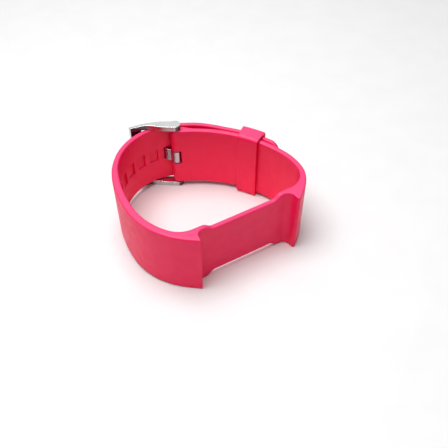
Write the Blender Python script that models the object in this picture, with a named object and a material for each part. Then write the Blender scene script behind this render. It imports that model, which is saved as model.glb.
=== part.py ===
"""Fitness tracker band, fastened and lying on its side.

A one-piece silicone strap with a thin tracker seat between two thick shoulders, its free keeper loop, and
a steel tongue buckle on a spring bar. Z runs across the strap's width, X along the seat, and the seat
faces -Y. Sizes are millimetres; MM turns them into metres where a mesh is made. While modelling, the
strap's mid-plane is z = 0 and the seat's centre is x = 0; settle() then stands the band on the ground.
"""

import math

import bmesh
import bpy
from mathutils import Matrix, Vector

MM = 0.001

# Strap: width, edges, and the lines that its wrist side follows as (radius, turn in degrees) arcs.
STRAP_WIDTH = 22.0
EDGE_RADIUS = 0.6
WRIST_LINE_Y = 5.35
HOLED_START_X = -15.5
HOLED_ARCS = ((8.0, -50.8), (21.0, -37.2), (44.7, -20.0), (18.2, -72.7))
BUCKLE_START_X = 16.5
BUCKLE_ARCS = ((6.6, 82.0), (18.0, 25.4), (40.0, 52.0))
HOLED_THICKNESS = 2.35
WINDOW_THICKNESS = 1.8
TAIL_THICKNESS = 1.55
BUCKLE_THICKNESS = 1.85
HOLED_SHOULDER_EXTRA = 3.05
BUCKLE_SHOULDER_EXTRA = 3.6
SHOULDER_TAPER = 9.0
THINNING_FROM = 31.0
THINNING_LENGTH = 12.0
TAIL_THINNING_FROM = 58.0

# Tracker seat: a thin, narrower web between the shoulders.
SEAT_FACE_Y = 3.65
SEAT_HALF_LENGTH = 15.9
SEAT_COVE = 2.3
WEB_INSET = 1.65
WEB_FLAT_HALF = 9.8
WEB_BLEND = 3.0
SEAT_CORNER_LEAN = 0.45

# Closure: distances along the buckle arm, from its shoulder.
PIVOT_AT = 53.2
PIVOT_RADIUS = 1.5
PIVOT_THICKENING = 6.0
TAIL_TIP_AT = 20.5
TAIL_LEAVES_AT = 50.0
TAIL_GAP = 0.35
TAIL_LIFT = 1.15
TAIL_LIFT_FROM = 36.0
TAIL_LIFT_LENGTH = 12.0
TIP_CORNER = 3.0
TIP_EDGE = 0.5

# Size windows in the holed arm: shallow on both faces, and pierced only where the tongue goes through.
WINDOW_LENGTH = 2.9
WINDOW_HEIGHT = 5.2
WINDOW_DEPTH = 0.55
WINDOW_PITCH = 4.9
USED_WINDOW_AT = 63.5
WINDOWS_BEFORE = 5
WINDOWS_AFTER = 4

# Spring bar: tube, two tips and the coil spring between them.
BAR_RADIUS = 0.75
BAR_BORE = 0.6
BAR_HALF = 11.15
LIP_RADIUS = 0.46
LIP_LENGTH = 0.35
TIP_PIN_RADIUS = 0.38
TIP_STEM_RADIUS = 0.52
TIP_STEM_LENGTH = 1.85
TIP_REACH = 12.3
SPRING_WIRE = 0.1
SPRING_RADIUS = 0.38
SPRING_TURNS = 15

# Buckle frame and tongue, measured from the spring bar's axis.
FRAME_HALF = 12.9
SIDE_BAR = 1.7
STRAP_OPENING = ((-11.4, -4), (4, -4), (4, 8), (-9.4, 8), (-9.4, 5.0), (-11.4, 5.0))
TONGUE_REST = ((-15, 5.2), (-8, 5.2), (-8, 8), (-15, 8))
PIN_HOLE_RADIUS = 0.5
PIN_HOLE_DEPTH = 1.2
FRAME_OUTER_EDGE = ((-0.3, 2.2), (-1.3, 2.75), (-3.3, 3.8), (-6.4, 4.9), (-9.7, 5.6), (-13.3, 5.95))
FRAME_INNER_EDGE = ((-13.1, 4.95), (-11.7, 4.8), (-8.7, 4.25), (-7.0, 3.45), (-4.5, 1.35), (-1.8, -0.5))
FRAME_HEAD_RADIUS = 1.75
FRAME_HEAD_CENTRE = (0.25, 0.2)
TONGUE_HALF = 2.35
TONGUE_THICKNESS = 0.6
TONGUE_LOOP = 1.1
TONGUE_RUN = (
    (-1.35, 1.0),
    (-2.2, 1.95),
    (-2.6, 2.8),
    (-2.6, 4.1),
    (-2.8, 5.15),
    (-4.1, 5.75),
    (-5.8, 5.9),
    (-9.0, 5.85),
    (-13.2, 5.75),
)
TONGUE_REST_HALF = 2.75

# Keeper loop.
KEEPER_AT = 29.25
KEEPER_LENGTH = 7.3
KEEPER_WALL = 0.85
KEEPER_CLEARANCE = 0.3

SILICONE = ("pink_silicone", (0.62, 0.02, 0.06), 0.55, 0.0)
STEEL = ("polished_steel", (0.72, 0.72, 0.7), 0.18, 1.0)
SPRING_STEEL = ("spring_steel", (0.45, 0.45, 0.46), 0.35, 1.0)


def smoothstep(value):
    value = min(max(value, 0.0), 1.0)
    return value * value * (3 - 2 * value)


def along(start, heading, arcs, distance):
    """Point and heading (radians) at a distance along a chain of tangent arcs."""
    point = Vector(start)
    heading = math.radians(heading)
    for radius, turn in arcs:
        bend = math.copysign(1.0 / radius, turn)
        length = radius * math.radians(abs(turn))
        step = min(distance, length)
        after = heading + bend * step
        point += Vector((math.sin(after) - math.sin(heading), math.cos(heading) - math.cos(after))) / bend
        heading = after
        distance -= step
        if distance <= 0:
            break
    point += distance * Vector((math.cos(heading), math.sin(heading)))
    return point, heading


def chain_length(arcs):
    return sum(radius * math.radians(abs(turn)) for radius, turn in arcs)


def on_buckle_arm(distance, offset=0.0):
    """Point at an outward offset from the buckle arm's wrist side."""
    point, heading = along((BUCKLE_START_X, WRIST_LINE_Y), 0, BUCKLE_ARCS, distance)
    return point + offset * Vector((math.sin(heading), -math.cos(heading)))


def on_holed_curve(distance, offset=0.0):
    """Point at an outward offset from the curved first stretch of the holed arm's wrist side."""
    point, heading = along((HOLED_START_X, WRIST_LINE_Y), 180, HOLED_ARCS, distance)
    return point + offset * Vector((-math.sin(heading), math.cos(heading)))


def tail_offset(distance):
    return BUCKLE_THICKNESS + TAIL_GAP + TAIL_LIFT * smoothstep((distance - TAIL_LIFT_FROM) / TAIL_LIFT_LENGTH)


def spread(first, last, step):
    count = max(1, math.ceil(abs(last - first) / step))
    return [first + (last - first) * i / count for i in range(count + 1)]


def hermite(a, toward_a, b, toward_b, t):
    """Cubic from a to b with the given end tangents."""
    return (
        a * (2 * t**3 - 3 * t**2 + 1)
        + toward_a * (t**3 - 2 * t**2 + t)
        + b * (3 * t**2 - 2 * t**3)
        + toward_b * (t**3 - t**2)
    )


def through(points, pieces):
    """A smooth line through points, with this many pieces between neighbours."""
    points = [Vector(point) for point in points]
    line = []
    for i, (here, there) in enumerate(zip(points, points[1:])):
        before = points[max(i - 1, 0)]
        after = points[min(i + 2, len(points) - 1)]
        line += [hermite(here, (there - before) / 2, there, (after - here) / 2, k / pieces) for k in range(pieces)]
    return line + [points[-1]]


def holed_line(step):
    """Wrist-side points of the holed arm, from its shoulder to the tail's tip."""
    curve_end = chain_length(HOLED_ARCS)
    points = [on_holed_curve(s) for s in spread(0, curve_end, step)]
    rounding = TAIL_TIP_AT + TIP_CORNER
    places = spread(TAIL_LEAVES_AT, rounding, step) + spread(rounding, TAIL_TIP_AT, step / 4)[1:]
    tail = [on_buckle_arm(s, tail_offset(s)) for s in places]
    leaving = (points[-1] - points[-2]).normalized()
    arriving = (tail[1] - tail[0]).normalized()
    gap = (tail[0] - points[-1]).length
    bridge = spread(0, 1, step / gap)[1:-1]
    points += [hermite(points[-1], leaving * gap, tail[0], arriving * gap, t) for t in bridge]
    return points + tail


def with_outward(points):
    """(distance, point, outward normal) along a line that has its outside on the left."""
    rows = []
    distance = 0.0
    for i, point in enumerate(points):
        if i:
            distance += (point - points[i - 1]).length
        before = points[max(i - 1, 0)]
        after = points[min(i + 1, len(points) - 1)]
        tangent = (after - before).normalized()
        rows.append((distance, point, Vector((-tangent.y, tangent.x))))
    return rows


def holed_thickness(distance):
    taper = max(0.0, 1 - distance / SHOULDER_TAPER) ** 3
    thinner = (HOLED_THICKNESS - WINDOW_THICKNESS) * smoothstep((distance - THINNING_FROM) / THINNING_LENGTH)
    thinner += (WINDOW_THICKNESS - TAIL_THICKNESS) * smoothstep((distance - TAIL_THINNING_FROM) / THINNING_LENGTH)
    return HOLED_THICKNESS - thinner + HOLED_SHOULDER_EXTRA * taper


def end_inset(distance, radius):
    """How far a rounded end has drawn in at this distance from its very end."""
    if distance >= radius:
        return 0.0
    return radius - math.sqrt(radius**2 - (radius - distance) ** 2)


def holed_stations(step):
    """(inner point, outer point, half height) from the tail's tip to the left shoulder."""
    rows = with_outward(holed_line(step))
    total = rows[-1][0]
    stations = []
    for distance, point, outward in rows:
        if point.x > -SEAT_HALF_LENGTH and distance < SHOULDER_TAPER:
            continue
        to_tip = total - distance
        round_end = 0.8 * end_inset(to_tip, TIP_EDGE)
        half = STRAP_WIDTH / 2 - end_inset(to_tip, TIP_CORNER)
        outer = point + outward * (holed_thickness(distance) - round_end)
        stations.append((point + outward * round_end, outer, half))
    return stations[::-1]


def web_half(x):
    inset = WEB_INSET * (1 - smoothstep((abs(x) - WEB_FLAT_HALF) / WEB_BLEND))
    return STRAP_WIDTH / 2 - inset


def seat_stations(step):
    """Stations of the tracker seat, from the left shoulder's corner to the right one's."""
    right = []
    cove_x = SEAT_HALF_LENGTH - SEAT_COVE - 0.2
    wrist_end = SEAT_HALF_LENGTH - SEAT_CORNER_LEAN
    for x in spread(0, cove_x, step):
        right.append((Vector((x, WRIST_LINE_Y)), Vector((x, SEAT_FACE_Y)), web_half(x)))
    turns = spread(0, 90, 90 * step / 3.6)
    for angle in turns[1:]:
        turn = math.radians(angle)
        outer = Vector((cove_x, SEAT_FACE_Y - SEAT_COVE)) + SEAT_COVE * Vector((math.sin(turn), math.cos(turn)))
        x = cove_x + (wrist_end - 0.15 - cove_x) * angle / 90
        right.append((Vector((x, WRIST_LINE_Y)), outer, web_half(x)))
    corner = Vector((SEAT_HALF_LENGTH, 0.0))
    right.append((Vector((wrist_end, WRIST_LINE_Y)), corner, STRAP_WIDTH / 2))
    flip = Vector((-1, 1))
    left = [(inner * flip, outer * flip, half) for inner, outer, half in right[:0:-1]]
    return left + right


def buckle_stations(step):
    """Stations of the buckle arm, from the right shoulder to its rounded end round the spring bar."""
    last = PIVOT_AT + PIVOT_RADIUS - 0.05
    stations = []
    for s in spread(0, PIVOT_AT, step) + spread(PIVOT_AT, last, step / 5)[1:]:
        taper = max(0.0, 1 - s / SHOULDER_TAPER) ** 3
        thickness = BUCKLE_THICKNESS + BUCKLE_SHOULDER_EXTRA * taper
        thickness += (2 * PIVOT_RADIUS - BUCKLE_THICKNESS) * smoothstep((s - PIVOT_AT + PIVOT_THICKENING) / 5)
        past = max(0.0, s - PIVOT_AT)
        drawn_in = PIVOT_RADIUS - math.sqrt(PIVOT_RADIUS**2 - past**2)
        inner = on_buckle_arm(s, drawn_in)
        outer = on_buckle_arm(s, thickness - drawn_in)
        stations.append((inner, outer, STRAP_WIDTH / 2 - drawn_in))
    return stations


def rounded_rectangle(width, height, radius, steps):
    """Outline points (u, v), u from 0 to width and v about 0, anticlockwise."""
    radius = min(radius, 0.45 * width, 0.45 * height)
    corners = (
        (width - radius, height / 2 - radius, 0),
        (radius, height / 2 - radius, 90),
        (radius, radius - height / 2, 180),
        (width - radius, radius - height / 2, 270),
    )
    outline = []
    for u, v, first in corners:
        for i in range(steps + 1):
            angle = math.radians(first + 90 * i / steps)
            outline.append((u + radius * math.cos(angle), v + radius * math.sin(angle)))
    return outline


def ring(station, steps):
    """One cross-section of the strap, square to the ground."""
    inner, outer, half = station
    across = outer - inner
    outline = rounded_rectangle(across.length, 2 * half, EDGE_RADIUS, steps)
    across.normalize()
    return [(*(inner + across * u), v) for u, v in outline]


def prism(outline, low, high):
    """Rings of an upright prism over a plan outline."""
    return [[(x, y, low) for x, y in outline], [(x, y, high) for x, y in outline]]


def disc(radius, sides, z, centre=(0, 0)):
    angles = [2 * math.pi * i / sides for i in range(sides)]
    return [(centre[0] + radius * math.cos(a), centre[1] + radius * math.sin(a), z) for a in angles]


def loft(rings):
    """Closed mesh through rings of equal length, capped at both ends."""
    mesh = bmesh.new()
    loops = [[mesh.verts.new(Vector(point) * MM) for point in points] for points in rings]
    size = len(loops[0])
    for first, second in zip(loops, loops[1:]):
        for i in range(size):
            j = (i + 1) % size
            mesh.faces.new((first[i], first[j], second[j], second[i]))
    mesh.faces.new(loops[0][::-1])
    mesh.faces.new(loops[-1])
    bmesh.ops.recalc_face_normals(mesh, faces=mesh.faces)
    return mesh


def turned(profile, sides):
    """Solid or tube turned about Z from a closed (radius, z) profile that stays off the axis."""
    mesh = bmesh.new()
    corners = [mesh.verts.new((radius * MM, 0, z * MM)) for radius, z in profile]
    edges = [mesh.edges.new((corners[i - 1], corners[i])) for i in range(len(corners))]
    geometry = corners + edges
    bmesh.ops.spin(mesh, geom=geometry, axis=(0, 0, 1), angle=2 * math.pi, steps=sides, use_merge=True)
    bmesh.ops.remove_doubles(mesh, verts=mesh.verts, dist=1e-7)
    bmesh.ops.recalc_face_normals(mesh, faces=mesh.faces)
    return mesh


def merged(meshes):
    """Several closed shapes in one mesh."""
    whole = bpy.data.meshes.new("merged")
    total = bmesh.new()
    for mesh in meshes:
        mesh.to_mesh(whole)
        total.from_mesh(whole)
        mesh.free()
    bpy.data.meshes.remove(whole)
    return total


def material(finish):
    name, colour, roughness, metallic = finish
    found = bpy.data.materials.get(name)
    if found:
        return found
    found = bpy.data.materials.new(name)
    found.use_nodes = True
    shader = found.node_tree.nodes["Principled BSDF"]
    shader.inputs["Base Color"].default_value = (*colour, 1)
    shader.inputs["Roughness"].default_value = roughness
    shader.inputs["Metallic"].default_value = metallic
    return found


def add_object(name, mesh, finish, place=(0, 0, 0)):
    data = bpy.data.meshes.new(name)
    mesh.to_mesh(data)
    mesh.free()
    data.shade_smooth()
    data.set_sharp_from_angle(angle=math.radians(35))
    thing = bpy.data.objects.new(name, data)
    thing.location = Vector(place) * MM
    bpy.context.collection.objects.link(thing)
    data.materials.append(material(finish))
    return thing


def cut(thing, name, mesh):
    """Takes a closed shape, given in the object's own frame, out of it."""
    data = bpy.data.meshes.new(name)
    mesh.to_mesh(data)
    mesh.free()
    cutter = bpy.data.objects.new(name, data)
    bpy.context.collection.objects.link(cutter)
    cutter.parent = thing
    cutter.hide_render = True
    cutter.display_type = "WIRE"
    boolean = thing.modifiers.new(name, "BOOLEAN")
    boolean.operation = "DIFFERENCE"
    boolean.solver = "EXACT"
    boolean.object = cutter


def pivot():
    """Plan position of the spring bar's axis."""
    return on_buckle_arm(PIVOT_AT, PIVOT_RADIUS)


def window_box(rows, distance, low, high):
    """Cutter for a window centred at a distance along the holed arm, from one depth to another."""
    _, point, outward = min(rows, key=lambda row: abs(row[0] - distance))
    tangent = Vector((outward.y, -outward.x))
    rings = []
    for depth in (low, high):
        outline = rounded_rectangle(WINDOW_LENGTH, WINDOW_HEIGHT, 0.35, 2)
        places = [(point + tangent * (u - WINDOW_LENGTH / 2) + outward * depth, v) for u, v in outline]
        rings.append([(*place, v) for place, v in places])
    return loft(rings)


def window_cutters():
    rows = with_outward(holed_line(0.1))
    cutters = []
    for k in range(-WINDOWS_BEFORE, WINDOWS_AFTER + 1):
        distance = USED_WINDOW_AT + k * WINDOW_PITCH
        thickness = holed_thickness(distance)
        if k == 0:
            cutters.append(window_box(rows, distance, -1, thickness + 1))
            continue
        cutters.append(window_box(rows, distance, -1, WINDOW_DEPTH))
        cutters.append(window_box(rows, distance, thickness - WINDOW_DEPTH, thickness + 1))
    return merged(cutters)


def notch_cutter():
    """Slot in the buckle arm's end that leaves room for the tongue's loop."""
    centre = pivot()
    _, heading = along((BUCKLE_START_X, WRIST_LINE_Y), 0, BUCKLE_ARCS, PIVOT_AT)
    onward = Vector((math.cos(heading), math.sin(heading)))
    outward = Vector((math.sin(heading), -math.cos(heading)))
    plan = [centre + onward * a + outward * b for a, b in ((-1.55, -2.1), (3, -2.1), (3, 1.68), (-1.55, 1.68))]
    return loft(prism(plan, -TONGUE_REST_HALF, TONGUE_REST_HALF))


def make_band():
    stations = holed_stations(1.6) + seat_stations(1.2) + buckle_stations(1.5)
    band = add_object("band", loft([ring(station, 2) for station in stations]), SILICONE)
    cut(band, "windows", window_cutters())
    reach = STRAP_WIDTH / 2 + 1
    bore = loft([disc(BAR_RADIUS + 0.25, 20, z, pivot()) for z in (-reach, reach)])
    cut(band, "bar_bore", bore)
    cut(band, "tongue_notch", notch_cutter())
    return band


def keeper_block(low, high, half, extra_length, corner):
    """Curved block between two offsets from the buckle arm's wrist side, about the keeper's own origin."""
    centre = keeper_centre()
    length = KEEPER_LENGTH + extra_length
    rings = []
    for s in spread(KEEPER_AT - length / 2, KEEPER_AT + length / 2, 1.1):
        inner = on_buckle_arm(s, low) - centre
        outer = on_buckle_arm(s, high) - centre
        outline = rounded_rectangle(high - low, 2 * half, corner, 3)
        across = (outer - inner).normalized()
        rings.append([(*(inner + across * u), v) for u, v in outline])
    return loft(rings)


def keeper_centre():
    """Centre of the buckle arm's last arc, which the keeper slides about."""
    radius = BUCKLE_ARCS[-1][0]
    return on_buckle_arm(chain_length(BUCKLE_ARCS), -radius)


def make_keeper():
    low = -KEEPER_CLEARANCE
    high = BUCKLE_THICKNESS + TAIL_GAP + TAIL_THICKNESS + KEEPER_CLEARANCE
    half = STRAP_WIDTH / 2 + KEEPER_CLEARANCE
    block = keeper_block(low - KEEPER_WALL, high + KEEPER_WALL, half + KEEPER_WALL, 0, 0.8)
    keeper = add_object("keeper_loop", block, SILICONE, (*keeper_centre(), 0))
    cut(keeper, "keeper_tunnel", keeper_block(low, high, half, 2, 0.3))
    return keeper


def make_spring_bar():
    place = (*pivot(), 0)
    tube = [
        (LIP_RADIUS, -BAR_HALF),
        (BAR_RADIUS, -BAR_HALF),
        (BAR_RADIUS, BAR_HALF),
        (LIP_RADIUS, BAR_HALF),
        (LIP_RADIUS, BAR_HALF - LIP_LENGTH),
        (BAR_BORE, BAR_HALF - LIP_LENGTH),
        (BAR_BORE, LIP_LENGTH - BAR_HALF),
        (LIP_RADIUS, LIP_LENGTH - BAR_HALF),
    ]
    parts = [add_object("spring_bar_tube", turned(tube, 20), STEEL, place)]
    stem_top = BAR_HALF - LIP_LENGTH - 0.05
    stem_low = stem_top - TIP_STEM_LENGTH
    for name, side in (("spring_bar_tip_upper", 1), ("spring_bar_tip_lower", -1)):
        sections = (
            (TIP_STEM_RADIUS, stem_low),
            (TIP_STEM_RADIUS, stem_top),
            (TIP_PIN_RADIUS, stem_top + 0.001),
            (TIP_PIN_RADIUS, TIP_REACH - 0.15),
            (TIP_PIN_RADIUS - 0.13, TIP_REACH),
        )
        tip = loft([disc(radius, 16, side * z) for radius, z in sections])
        parts.append(add_object(name, tip, STEEL, place))
    parts.append(add_object("spring_bar_spring", spring_mesh(stem_low - 0.2), SPRING_STEEL, place))
    return parts


def spring_mesh(half_length):
    """Round wire wound about Z."""
    steps = 12 * SPRING_TURNS
    reach = half_length - SPRING_WIRE
    rings = []
    for i in range(steps + 1):
        angle = 2 * math.pi * SPRING_TURNS * i / steps
        radial = Vector((math.cos(angle), math.sin(angle), 0))
        middle = radial * SPRING_RADIUS + Vector((0, 0, reach * (2 * i / steps - 1)))
        around = [2 * math.pi * k / 5 for k in range(5)]
        rings.append([middle + SPRING_WIRE * (radial * math.cos(a) + Vector((0, 0, math.sin(a)))) for a in around])
    return loft(rings)


def make_frame():
    """Curved side bars and a far bar, cut from one bent plate."""
    head = [
        (
            FRAME_HEAD_CENTRE[0] + FRAME_HEAD_RADIUS * math.cos(math.radians(angle)),
            FRAME_HEAD_CENTRE[1] + FRAME_HEAD_RADIUS * math.sin(math.radians(angle)),
        )
        for angle in spread(-115, 85, 20)
    ]
    outline = head + list(FRAME_OUTER_EDGE + FRAME_INNER_EDGE)
    frame = add_object("buckle_frame", loft(prism(outline, -FRAME_HALF, FRAME_HALF)), STEEL, (*pivot(), 0))
    inside = FRAME_HALF - SIDE_BAR
    cut(frame, "strap_opening", loft(prism(STRAP_OPENING, -inside, inside)))
    cut(frame, "tongue_rest", loft(prism(TONGUE_REST, -TONGUE_REST_HALF, TONGUE_REST_HALF)))
    for name, side in (("pin_hole_upper", 1), ("pin_hole_lower", -1)):
        ends = (side * (inside - 1), side * (inside + PIN_HOLE_DEPTH))
        cut(frame, name, loft([disc(PIN_HOLE_RADIUS, 16, z) for z in ends]))
    bevel = frame.modifiers.new("edges", "BEVEL")
    bevel.width = 0.22 * MM
    bevel.segments = 2
    bevel.limit_method = "ANGLE"
    bevel.angle_limit = math.radians(50)
    bevel.use_clamp_overlap = True
    return frame


def tongue_line():
    """Centreline of the tongue in plan: a curl round the bar, through the window, then over the far bar."""
    points = []
    for angle in spread(50, -170, 20):
        turn = math.radians(angle)
        points.append(TONGUE_LOOP * Vector((math.cos(turn), math.sin(turn))))
    return points[:-1] + through([points[-1], *TONGUE_RUN], 3)


def make_tongue():
    rows = with_outward(tongue_line())
    half = TONGUE_THICKNESS / 2
    rings = []
    for _, point, across in rows:
        outline = rounded_rectangle(TONGUE_THICKNESS, 2 * TONGUE_HALF, 0.2, 2)
        rings.append([(*(point + across * (u - half)), v) for u, v in outline])
    return add_object("buckle_tongue", loft(rings), STEEL, (*pivot(), 0))


def settle(things):
    """Puts the middle of the whole band's box over the origin, standing on z = 0."""
    bpy.context.view_layer.update()
    corners = [thing.matrix_world @ Vector(corner) for thing in things for corner in thing.bound_box]
    low = Vector([min(corner[k] for corner in corners) for k in range(3)])
    high = Vector([max(corner[k] for corner in corners) for k in range(3)])
    shift = Vector((-(low.x + high.x) / 2, -(low.y + high.y) / 2, -low.z))
    for thing in things:
        thing.matrix_world = Matrix.Translation(shift) @ thing.matrix_world


def main():
    for thing in list(bpy.data.objects):
        bpy.data.objects.remove(thing)
    things = [make_band(), make_keeper(), make_frame(), make_tongue(), *make_spring_bar()]
    settle(things)


main()
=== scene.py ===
"""Fitness tracker band: a one-piece silicone strap with its keeper loop and a steel tongue buckle,
fastened and lying on its side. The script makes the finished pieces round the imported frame, in
Blender 4.5.

Lengths are metres. A plan point (x, y) is counted from the middle of the tracker seat, with z = 0
on the strap's mid-plane, and placed() moves it to where the frame has it. The seat faces -Y.
"""

import math

import bmesh
import bpy
from bpy.props import FloatProperty, FloatVectorProperty, IntProperty, PointerProperty
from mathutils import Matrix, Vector


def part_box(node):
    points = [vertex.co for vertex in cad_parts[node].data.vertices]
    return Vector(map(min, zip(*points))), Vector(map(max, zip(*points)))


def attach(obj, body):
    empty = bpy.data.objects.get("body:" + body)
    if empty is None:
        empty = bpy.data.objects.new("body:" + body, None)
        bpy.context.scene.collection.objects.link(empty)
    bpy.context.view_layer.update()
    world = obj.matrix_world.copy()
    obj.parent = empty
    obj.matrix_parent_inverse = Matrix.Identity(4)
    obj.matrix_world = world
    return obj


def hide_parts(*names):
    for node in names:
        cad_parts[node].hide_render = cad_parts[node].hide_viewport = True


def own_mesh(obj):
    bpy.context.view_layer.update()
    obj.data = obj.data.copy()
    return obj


bl_info = {
    "name": "Fitness Tracker Band",
    "version": (1, 0, 0),
    "blender": (4, 5, 0),
    "location": "3D View > Sidebar > Band",
    "description": "Makes a silicone tracker band with its keeper loop and tongue buckle",
    "category": "Add Mesh",
}

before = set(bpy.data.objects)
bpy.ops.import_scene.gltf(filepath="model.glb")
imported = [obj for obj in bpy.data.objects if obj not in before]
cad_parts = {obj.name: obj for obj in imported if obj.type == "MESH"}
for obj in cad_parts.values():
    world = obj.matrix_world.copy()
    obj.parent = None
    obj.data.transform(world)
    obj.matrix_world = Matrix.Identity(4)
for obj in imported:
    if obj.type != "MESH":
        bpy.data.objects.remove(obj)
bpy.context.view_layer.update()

MM = 0.001
STRAP_LOW, STRAP_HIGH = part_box("band")
BAR_LOW, BAR_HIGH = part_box("spring_bar_tube")
BUCKLE_LOW, BUCKLE_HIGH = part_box("buckle_frame")
PIVOT = (BAR_LOW + BAR_HIGH) / 2
STRAP_WIDTH = STRAP_HIGH.z - STRAP_LOW.z
BAR_RADIUS = (BAR_HIGH.x - BAR_LOW.x) / 2

# The strap's wrist side in plan: where each arm starts, and its arcs, each a radius and a turn in
# degrees.
WRIST_LINE_Y = 5.35 * MM
HOLED_START_X = -15.5 * MM
HOLED_ARCS = ((8.0 * MM, -50.8), (21.0 * MM, -37.2), (44.7 * MM, -20.0), (18.2 * MM, -72.7))
BUCKLE_START_X = 16.5 * MM
BUCKLE_ARCS = ((6.6 * MM, 82.0), (18.0 * MM, 25.4), (40.0 * MM, 52.0))
SHOULDER_TAPER = 9.0 * MM
HOLED_CORNER_REACH = 0.35 * MM
BUCKLE_CORNER_REACH = 0.75 * MM
THINNING_FROM = 31.0 * MM
THINNING_LENGTH = 12.0 * MM
TAIL_THINNING_FROM = 58.0 * MM
STATION_STEP = 0.5 * MM

# Tracker seat.
SEAT_FACE_Y = 3.65 * MM
SEAT_HALF_LENGTH = 15.9 * MM
SEAT_COVE = 2.3 * MM
COVE_TURN = 82.0
COVE_SETBACK = 0.2 * MM
COVE_END_GAP = 0.15 * MM
WEB_FLAT_HALF = 9.8 * MM
WEB_BLEND = 3.0 * MM
SEAT_CORNER_LEAN = 0.45 * MM

# Closure: distances along the buckle arm, from its shoulder.
PIVOT_AT = 53.2 * MM
PIVOT_RADIUS = 1.5 * MM
THICKENING_BEFORE = 6.0 * MM
THICKENING_LENGTH = 5.0 * MM
ARM_END_FLAT = 0.02 * MM
BORE_CLEARANCE = 0.15 * MM
TAIL_TIP_AT = 20.5 * MM
TAIL_LEAVES_AT = 50.0 * MM
TAIL_LIFT_FROM = 36.0 * MM
TAIL_LIFT_LENGTH = 12.0 * MM
TAIL_END_ROUNDING = 0.5 * MM
TAIL_END_SHARE = 0.8
KEEPER_AT = 29.25 * MM
KEEPER_EDGE = 0.3 * MM
KEEPER_TUNNEL_CORNER = 0.75 * MM
USED_WINDOW_AT = 63.5 * MM
WINDOWS_BEFORE = 5
WINDOWS_AFTER = 4
USED_WINDOW_REACH = 0.6

# Buckle outlines in plan, in millimetres from the spring bar's axis.
FRAME_HEAD_RADIUS = 1.75
FRAME_HEAD_CENTRE = (0.25, 0.2)
FRAME_OUTER_EDGE = (
    (-0.3, 2.2),
    (-1.3, 2.75),
    (-3.3, 3.8),
    (-6.4, 4.9),
    (-9.7, 5.6),
    (-13.3, 5.95),
)
FRAME_INNER_EDGE = (
    (-13.1, 4.95),
    (-11.7, 4.8),
    (-8.7, 4.25),
    (-7.0, 3.45),
    (-4.5, 1.35),
    (-1.8, -0.5),
)
STRAP_OPENING = ((-11.4, -4.0), (4.0, -4.0), (4.0, 8.0), (-9.4, 8.0), (-9.4, 5.0), (-11.4, 5.0))
TONGUE_REST = ((-15.0, 5.2), (-8.0, 5.2), (-8.0, 8.0), (-15.0, 8.0))
TONGUE_NOTCH = ((-1.55, -2.1), (3.0, -2.1), (3.0, 1.68), (-1.55, 1.68))
TONGUE_RUN = (
    (-1.35, 1.0),
    (-2.2, 1.95),
    (-2.6, 2.8),
    (-2.6, 4.1),
    (-2.8, 5.15),
    (-4.1, 5.75),
    (-5.8, 5.9),
    (-9.0, 5.85),
    (-13.2, 5.75),
)
TONGUE_END_TAPER = (1.0, 0.97, 0.86)

# Cutters, the frame's pin holes and the spring bar.
CUTTER_OVERRUN = 1.0 * MM
PIN_HOLE_RADIUS = 0.5 * MM
PIN_HOLE_DEPTH = 1.2 * MM
FRAME_BEVEL_ANGLE = 50
STEEL_EDGE = 0.25 * MM
TUBE_BORE_RADIUS = 0.6 * MM
TUBE_LIP_RADIUS = 0.46 * MM
TUBE_LIP_LENGTH = 0.35 * MM
TUBE_CHAMFER = 0.1 * MM
TIP_PIN_RADIUS = 0.38 * MM
TIP_STEM_RADIUS = 0.52 * MM
TIP_STEM_PLAY = 0.05 * MM
TIP_NOSE = 0.15 * MM

# Stage. The floor meets the frame's lower bar at the spring bar's y, and the shoulders this far
# towards -Y from there. The camera aims at a plan point, and the lamps' places are counted from
# the frame's origin.
FLOOR_CONTACT_RUN = PIVOT.y + SEAT_HALF_LENGTH + 5 * MM
FLOOR_HALF = 2000 * MM
CAMERA_AIM = Vector((2.466, 19.489, -11.0)) * MM
OVERHEAD_SIZE = 380 * MM
OVERHEAD_PLACE = (-80 * MM, 50 * MM, 440 * MM)
BACK_SIZE = 400 * MM
BACK_PLACE = (168 * MM, 290 * MM, 370 * MM)


def size_setting(name, description, millimetres):
    """A length that a user may change."""
    default = millimetres * MM
    return FloatProperty(name=name, description=description, default=default, unit="LENGTH")


def colour_setting(name, description, default):
    """A colour that a user may change."""
    return FloatVectorProperty(
        name=name, description=description, default=default, subtype="COLOR", min=0.0, max=1.0
    )


class StrapSizes(bpy.types.PropertyGroup):
    """Sizes of the silicone strap and its keeper loop."""

    edge_radius: size_setting("Edge radius", "Rounding of the strap's long edges", 0.65)
    holed_thickness: size_setting("Holed arm", "Thickness of the arm with the windows", 2.35)
    window_thickness: size_setting("Windowed stretch", "Thickness where the arm is thinned", 1.8)
    tail_thickness: size_setting("Tail", "Thickness of the tail under the keeper", 1.55)
    buckle_thickness: size_setting("Buckle arm", "Thickness of the arm that holds the buckle", 1.85)
    holed_shoulder: size_setting(
        "Holed shoulder", "Extra thickness at the holed arm's shoulder", 3.05
    )
    buckle_shoulder: size_setting(
        "Buckle shoulder", "Extra thickness at the buckle arm's shoulder", 3.6
    )
    web_inset: size_setting("Web inset", "How much narrower the seat's web is at each edge", 1.65)
    tail_gap: size_setting("Tail gap", "Gap between the buckle arm and the tail on it", 0.35)
    tail_lift: size_setting("Tail lift", "How far the tail stands off towards the buckle", 1.15)
    tip_corner: size_setting("Tip corners", "Corner radius of the tail's tip", 3.0)
    keeper_length: size_setting("Keeper length", "Length of the keeper loop along the strap", 7.3)
    keeper_wall: size_setting("Keeper wall", "Wall thickness of the keeper loop", 0.85)
    keeper_clearance: size_setting(
        "Keeper clearance", "Gap between the keeper and the strap in it", 0.3
    )


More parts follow.
